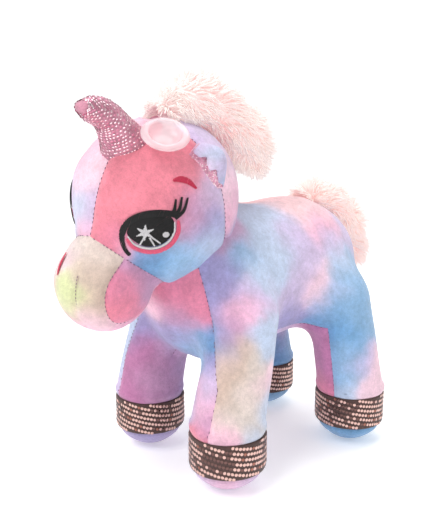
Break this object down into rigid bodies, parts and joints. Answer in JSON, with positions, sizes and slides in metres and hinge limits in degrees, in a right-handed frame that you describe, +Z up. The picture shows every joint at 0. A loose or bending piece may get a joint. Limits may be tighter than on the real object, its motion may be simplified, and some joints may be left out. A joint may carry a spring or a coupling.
{
  "type": "plush unicorn",
  "caption": "Standing stuffed unicorn in tie-dyed plush with a soft horn, fur mane and tail, sequinned hoof bands and a clear hanging cup on its head.",
  "frame": {"origin": "on the surface that it stands on, under the middle of the whole toy", "axes": "+Z up, nose towards -Y, the animal's left side at +X"},
  "size_m": [0.122, 0.2367, 0.2257],
  "materials": {
    "stuffing": "matte",
    "plush_body_left": "matte",
    "plush_body_right": "matte",
    "plush_belly": "matte",
    "plush_chest": "matte",
    "plush_forehead": "matte",
    "plush_face": "matte",
    "plush_head_back": "matte",
    "plush_muzzle": "matte",
    "plush_jaw": "matte",
    "pink_sequin_cloth": "satin",
    "pink_glitter_cloth": "satin",
    "copper_sequin_cloth": "gloss",
    "black_thread": "satin",
    "crimson_thread": "satin",
    "pale_pink_fur": "matte",
    "plush_ear": "matte",
    "clear_vinyl": "gloss",
    "plush_leg_cream": "matte",
    "plush_leg_lilac": "matte",
    "plush_leg_blue": "matte",
    "plush_leg_pink": "matte",
    "plush_sole_lilac": "matte",
    "plush_sole_blue": "matte"
  },
  "bodies": {
    "torso": {"torso_stuffing": "stuffing", "body_panel_left": "plush_body_left", "body_panel_right": "plush_body_right", "belly_gusset": "plush_belly", "chest_panel": "plush_chest"},
    "neck": {"neck_stuffing": "stuffing"},
    "head": {"head_stuffing": "stuffing", "face_panel_left": "plush_face", "face_panel_right": "plush_forehead", "head_back_panel_left": "plush_head_back", "head_back_panel_right": "plush_head_back", "muzzle_panel": "plush_muzzle", "jaw_panel_left": "plush_jaw", "jaw_panel_right": "plush_jaw", "horn_cover": "pink_sequin_cloth", "horn_stuffing": "stuffing", "eye_embroidery_left": "black_thread", "eye_embroidery_right": "black_thread", "eyebrow_embroidery_left": "crimson_thread", "eyebrow_embroidery_right": "crimson_thread", "nostril_embroidery_right": "crimson_thread", "mane_fur": "pale_pink_fur"},
    "ear_left": {"ear_outer_left": "plush_ear", "ear_lining_left": "pink_glitter_cloth"},
    "ear_right": {"ear_outer_right": "plush_ear", "ear_lining_right": "pink_glitter_cloth"},
    "strap": {"cup_strap": "clear_vinyl"},
    "cup": {"suction_cup": "clear_vinyl"},
    "tail": {"tail_fur": "pale_pink_fur"},
    "leg_front_left": {"leg_front_left_stuffing": "stuffing", "leg_front_left_outer_panel": "plush_leg_cream", "leg_front_left_inner_panel": "plush_leg_pink", "leg_front_left_hoof_band": "copper_sequin_cloth", "leg_front_left_sole": "plush_sole_lilac"},
    "leg_front_right": {"leg_front_right_stuffing": "stuffing", "leg_front_right_outer_panel": "plush_leg_lilac", "leg_front_right_inner_panel": "plush_leg_pink", "leg_front_right_hoof_band": "copper_sequin_cloth", "leg_front_right_sole": "plush_sole_lilac"},
    "leg_hind_left": {"leg_hind_left_stuffing": "stuffing", "leg_hind_left_outer_panel": "plush_leg_blue", "leg_hind_left_inner_panel": "plush_leg_pink", "leg_hind_left_hoof_band": "copper_sequin_cloth", "leg_hind_left_sole": "plush_sole_blue"},
    "leg_hind_right": {"leg_hind_right_stuffing": "stuffing", "leg_hind_right_outer_panel": "plush_leg_blue", "leg_hind_right_inner_panel": "plush_leg_blue", "leg_hind_right_hoof_band": "copper_sequin_cloth", "leg_hind_right_sole": "plush_sole_blue"}
  },
  "joints": [
    {"name": "neck_turn", "type": "hinge", "parent": "torso", "child": "neck", "pos_m": [0, -0.0384, 0.136], "axis": [0, 0, 1], "range_deg": [-12, 12], "stiffness_Nm_per_rad": 0.6},
    {"name": "head_nod", "type": "hinge", "parent": "neck", "child": "head", "pos_m": [0, -0.0384, 0.136], "axis": [1, 0, 0], "range_deg": [-8, 8], "stiffness_Nm_per_rad": 0.6},
    {"name": "ear_left_flop", "type": "hinge", "parent": "head", "child": "ear_left", "pos_m": [0.03696, -0.05914, 0.18716], "axis": [-0.2375, -0.6946, -0.679], "range_deg": [0, 20], "stiffness_Nm_per_rad": 0.01},
    {"name": "ear_right_flop", "type": "hinge", "parent": "head", "child": "ear_right", "pos_m": [-0.02142, -0.07155, 0.19768], "axis": [-0.2501, 0.591, 0.7669], "range_deg": [0, 20], "stiffness_Nm_per_rad": 0.01},
    {"name": "strap_flip", "type": "hinge", "parent": "head", "child": "strap", "pos_m": [0.01181, -0.0615, 0.20207], "axis": [-0.4276, -0.9026, 0.0505], "range_deg": [0, 60]},
    {"name": "cup_spin", "type": "hinge", "parent": "strap", "child": "cup", "pos_m": [0.0335, -0.07613, 0.19288], "axis": [0.5906, -0.2871, 0.7542], "continuous": true},
    {"name": "tail_wag", "type": "hinge", "parent": "torso", "child": "tail", "pos_m": [0, 0.0736, 0.15], "axis": [0, 0, 1], "range_deg": [-12, 12], "stiffness_Nm_per_rad": 0.02},
    {"name": "front_left_swing", "type": "hinge", "parent": "torso", "child": "leg_front_left", "pos_m": [0.0374, -0.0274, 0.092], "axis": [1, 0, 0], "range_deg": [-10, 10], "stiffness_Nm_per_rad": 2},
    {"name": "front_right_swing", "type": "hinge", "parent": "torso", "child": "leg_front_right", "pos_m": [-0.0374, -0.0274, 0.092], "axis": [1, 0, 0], "range_deg": [-10, 10], "stiffness_Nm_per_rad": 2},
    {"name": "hind_left_swing", "type": "hinge", "parent": "torso", "child": "leg_hind_left", "pos_m": [0.0395, 0.0501, 0.092], "axis": [1, 0, 0], "range_deg": [-10, 10], "stiffness_Nm_per_rad": 2},
    {"name": "hind_right_swing", "type": "hinge", "parent": "torso", "child": "leg_hind_right", "pos_m": [-0.0395, 0.0501, 0.092], "axis": [1, 0, 0], "range_deg": [-10, 10], "stiffness_Nm_per_rad": 2}
  ]
}
